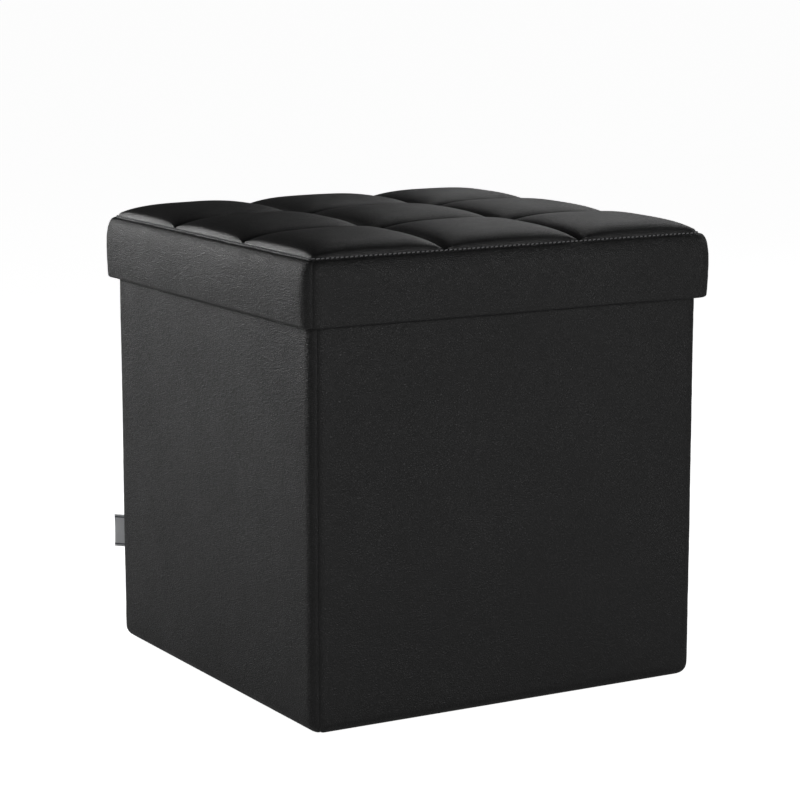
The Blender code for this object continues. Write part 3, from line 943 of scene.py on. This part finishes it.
def make_pull_tab():
    """Ribbon folded into a flat loop, sewn down at the board's back edge."""
    width, low, high = tab_high.x - tab_low.x, tab_low.z, tab_high.z
    length, layer = tab_high.y - tab_low.y, 0.0007
    path = folded_path(length, high - low - layer, 30)
    columns = 12

    def place(i, j):
        along, across = path[j]
        share = along / length
        side = 2 * i / columns - 1
        x = width / 2 * side * (1 - 0.06 * share**3)
        bow = 0.0008 * math.sin(math.pi * share * 0.9) ** 2
        bow += 0.0002 * math.sin(math.pi * share) * (1 if across > 0 else -0.3)
        curl = -0.0003 * abs(side) ** 5
        return Vector((x, tab_high.y - along, (low + high) / 2 + across + bow + curl))

    tab = grid("pull_tab_ribbon", columns + 1, len(path), place)
    face_out(tab, (0, (tab_low.y + tab_high.y) / 2, high), (0, 0, 1))
    thicken(tab, layer, offset=0)
    finish(tab, RIBBON, "floor")
    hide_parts("floor_pull_tab")
    across, deep, back = width * 0.36, 0.012, tab_high.y - 0.004
    corners = [(-across, back), (across, back), (across, back - deep), (-across, back - deep)]
    runs = list(zip(corners, corners[1:] + corners[:1]))
    runs += [(corners[0], corners[2]), (corners[1], corners[3])]
    surface = BVHTree.FromObject(tab, bpy.context.evaluated_depsgraph_get())
    places = []
    for first, last in runs:
        run = Vector((*last, 0)) - Vector((*first, 0))
        steps = max(2, round(run.length / TAB_PITCH))
        for i in range(steps):
            point = Vector((*first, 1)) + run * (i + 0.5) / steps
            hit, normal, _, _ = surface.ray_cast(point, Vector((0, 0, -1)))
            places.append(frame_at(hit + 0.0001 * normal, run, normal))
    stamp("pull_tab_stitches", STITCH, places, SEAM_THREAD, "floor")


def make_label():
    """Folded woven label in the back left corner seam, with a plain line top and bottom."""
    out = Vector((-1, 1, 0)).normalized()
    across_way = Vector((1, 1, 0)).normalized()
    low, high = label_low.z, label_high.z
    length, layer, folded, hidden = 0.0100, 0.00035, 0.0009, 0.0015
    middle = Vector((label_low.x + label_high.x, label_low.y + label_high.y, 0)) / 2
    start = middle - out * (length / 2 + hidden)

    def fold(name, bottom, top, rows, apart, thickness, material):
        path = folded_path(length + hidden, apart, 10)

        def place(i, j):
            along, across = path[j]
            height = bottom + (top - bottom) * i / (rows - 1)
            share = (height - low) / (high - low)
            bend = 0.0009 * (along / length) ** 2 * math.sin(2.4 * share + 0.3)
            return start + out * along + across_way * (across + bend) + Vector((0, 0, height))

        piece = grid(name, rows, len(path), place)
        face_out(piece, start + across_way + Vector((0, 0, high)), across_way)
        thicken(piece, thickness, offset=0)
        finish(piece, material, "box")
        return piece

    label = fold("woven_label", low, high, 25, folded - layer, layer, LABEL)
    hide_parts("seam_label")
    lines = [
        fold(name, at - 0.0006, at + 0.0006, 5, folded - layer, layer + 0.00014, LABEL_EDGE)
        for name, at in (("label_line_low", low + 0.0021), ("label_line_high", high - 0.0021))
    ]


def make_wall_pads():
    """Thin foam behind the cover, with softened edges."""
    for side in SIDES:
        low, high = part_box(f"{side}_wall_pad")
        deselect()
        bpy.ops.mesh.primitive_cube_add(size=1)
        pad = bpy.context.object
        pad.name = pad.data.name = f"{side}_foam_sheet"
        pad.scale = high - low
        pad.location = (low + high) / 2
        bpy.ops.object.transform_apply()
        bevel = pad.modifiers.new("crushed edge", "BEVEL")
        bevel.width, bevel.segments = 0.0011, 3
        apply_all(pad)
        finish(pad, FOAM, "box")
        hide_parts(f"{side}_wall_pad")


# ---------------------------------------------------------------- studio

def softbox(name, place, target, size, power):
    data = bpy.data.lights.new(name, "AREA")
    data.shape, data.energy = "RECTANGLE", power
    data.size, data.size_y = size
    lamp = bpy.data.objects.new(name, data)
    bpy.context.scene.collection.objects.link(lamp)
    lamp.location = place
    lamp.rotation_euler = (Vector(target) - Vector(place)).to_track_quat("-Z", "Y").to_euler()
    lamp.visible_camera = False


def studio_paper():
    """Pale paper, lit from behind so that it stays even."""
    made, tree, shader, _ = new_material("studio_paper", (0.9, 0.9, 0.9), Roughness=0.9)
    shader.inputs["Specular IOR Level"].default_value = 0.0
    shader.inputs["Emission Color"].default_value = (1, 1, 1, 1)
    path = tree.nodes.new("ShaderNodeLightPath")
    glow = span(tree, path.outputs["Is Camera Ray"], 0.0, 1.0, 0.03, 0.95)
    tree.links.new(glow, shader.inputs["Emission Strength"])
    return made


def make_studio():
    deselect()
    bpy.ops.mesh.primitive_plane_add(size=80)
    floor = bpy.context.object
    floor.name = "studio_floor"
    floor.data.materials.append(studio_paper())

    softbox("back_left_high", (-0.60, 0.60, 0.60), (-0.19, -0.05, 0.36), (0.3, 0.2), 1.3)
    softbox("back_left_low", (-0.78, 1.22, 0.57), (-0.19, 0.0, 0.37), (0.3, 0.2), 5.4)
    softbox("back_right", (1.10, 1.10, 1.00), (0.0, 0.0, 0.38), (0.8, 0.6), 1.7)
    softbox("front", (0.50, -2.00, 0.70), (0.0, -0.19, 0.2), (1.0, 0.6), 13)
    softbox("front_left", (-1.40, -1.10, 0.80), (-0.19, 0.0, 0.15), (0.5, 0.5), 4)
    softbox("right_side", (2.20, 0.30, 1.20), (0.0, 0.0, 0.3), (1.2, 1.0), 4)

    world = bpy.data.worlds.new("studio")
    world.use_nodes = True
    background = world.node_tree.nodes["Background"]
    background.inputs["Color"].default_value = (1, 1, 1, 1)
    background.inputs["Strength"].default_value = 0.03
    bpy.context.scene.world = world
    bpy.context.scene.view_settings.view_transform = "Standard"

    data = bpy.data.cameras.new("camera")
    data.lens, data.sensor_width = 121.39, 36
    camera = bpy.data.objects.new("camera", data)
    bpy.context.scene.collection.objects.link(camera)
    camera.location = (-1.13648, -1.96087, 0.6230)
    aim = Vector((0.0006, 0, 0.2240)) - camera.location
    camera.rotation_mode = "QUATERNION"
    camera.rotation_quaternion = aim.to_track_quat("-Z", "Y")
    bpy.context.scene.camera = camera


KINDS = {"fibreboard": BOARD, "foam": FOAM, "black_lining": LINING_CLOTH,
         "black_faux_leather": SKIN_SIDES, "label_weave": LABEL, "ribbon": RIBBON}
SLOTS = {row["node"]: row["material_slot"] for row in frame["record"]["subparts"]}
for node, obj in frame["nodes"].items():
    obj.data.materials.clear()
    obj.data.materials.append(KINDS[SLOTS[node]])

make_studio()
make_wall_pads()
make_box_cover()
make_wall_lining()
make_base_cloth()
make_floor_cloth()
make_pull_tab()
make_label()
make_lid_band()
make_lid_lining()
make_lid_stitches(make_lid_cushion())
wall_staples("rim_staples", RETURN_FACE, RIM - 0.013, "box")
wall_staples("skirt_staples", LEG_FACE, SKIRT + 0.014, "lid")
base_staples()
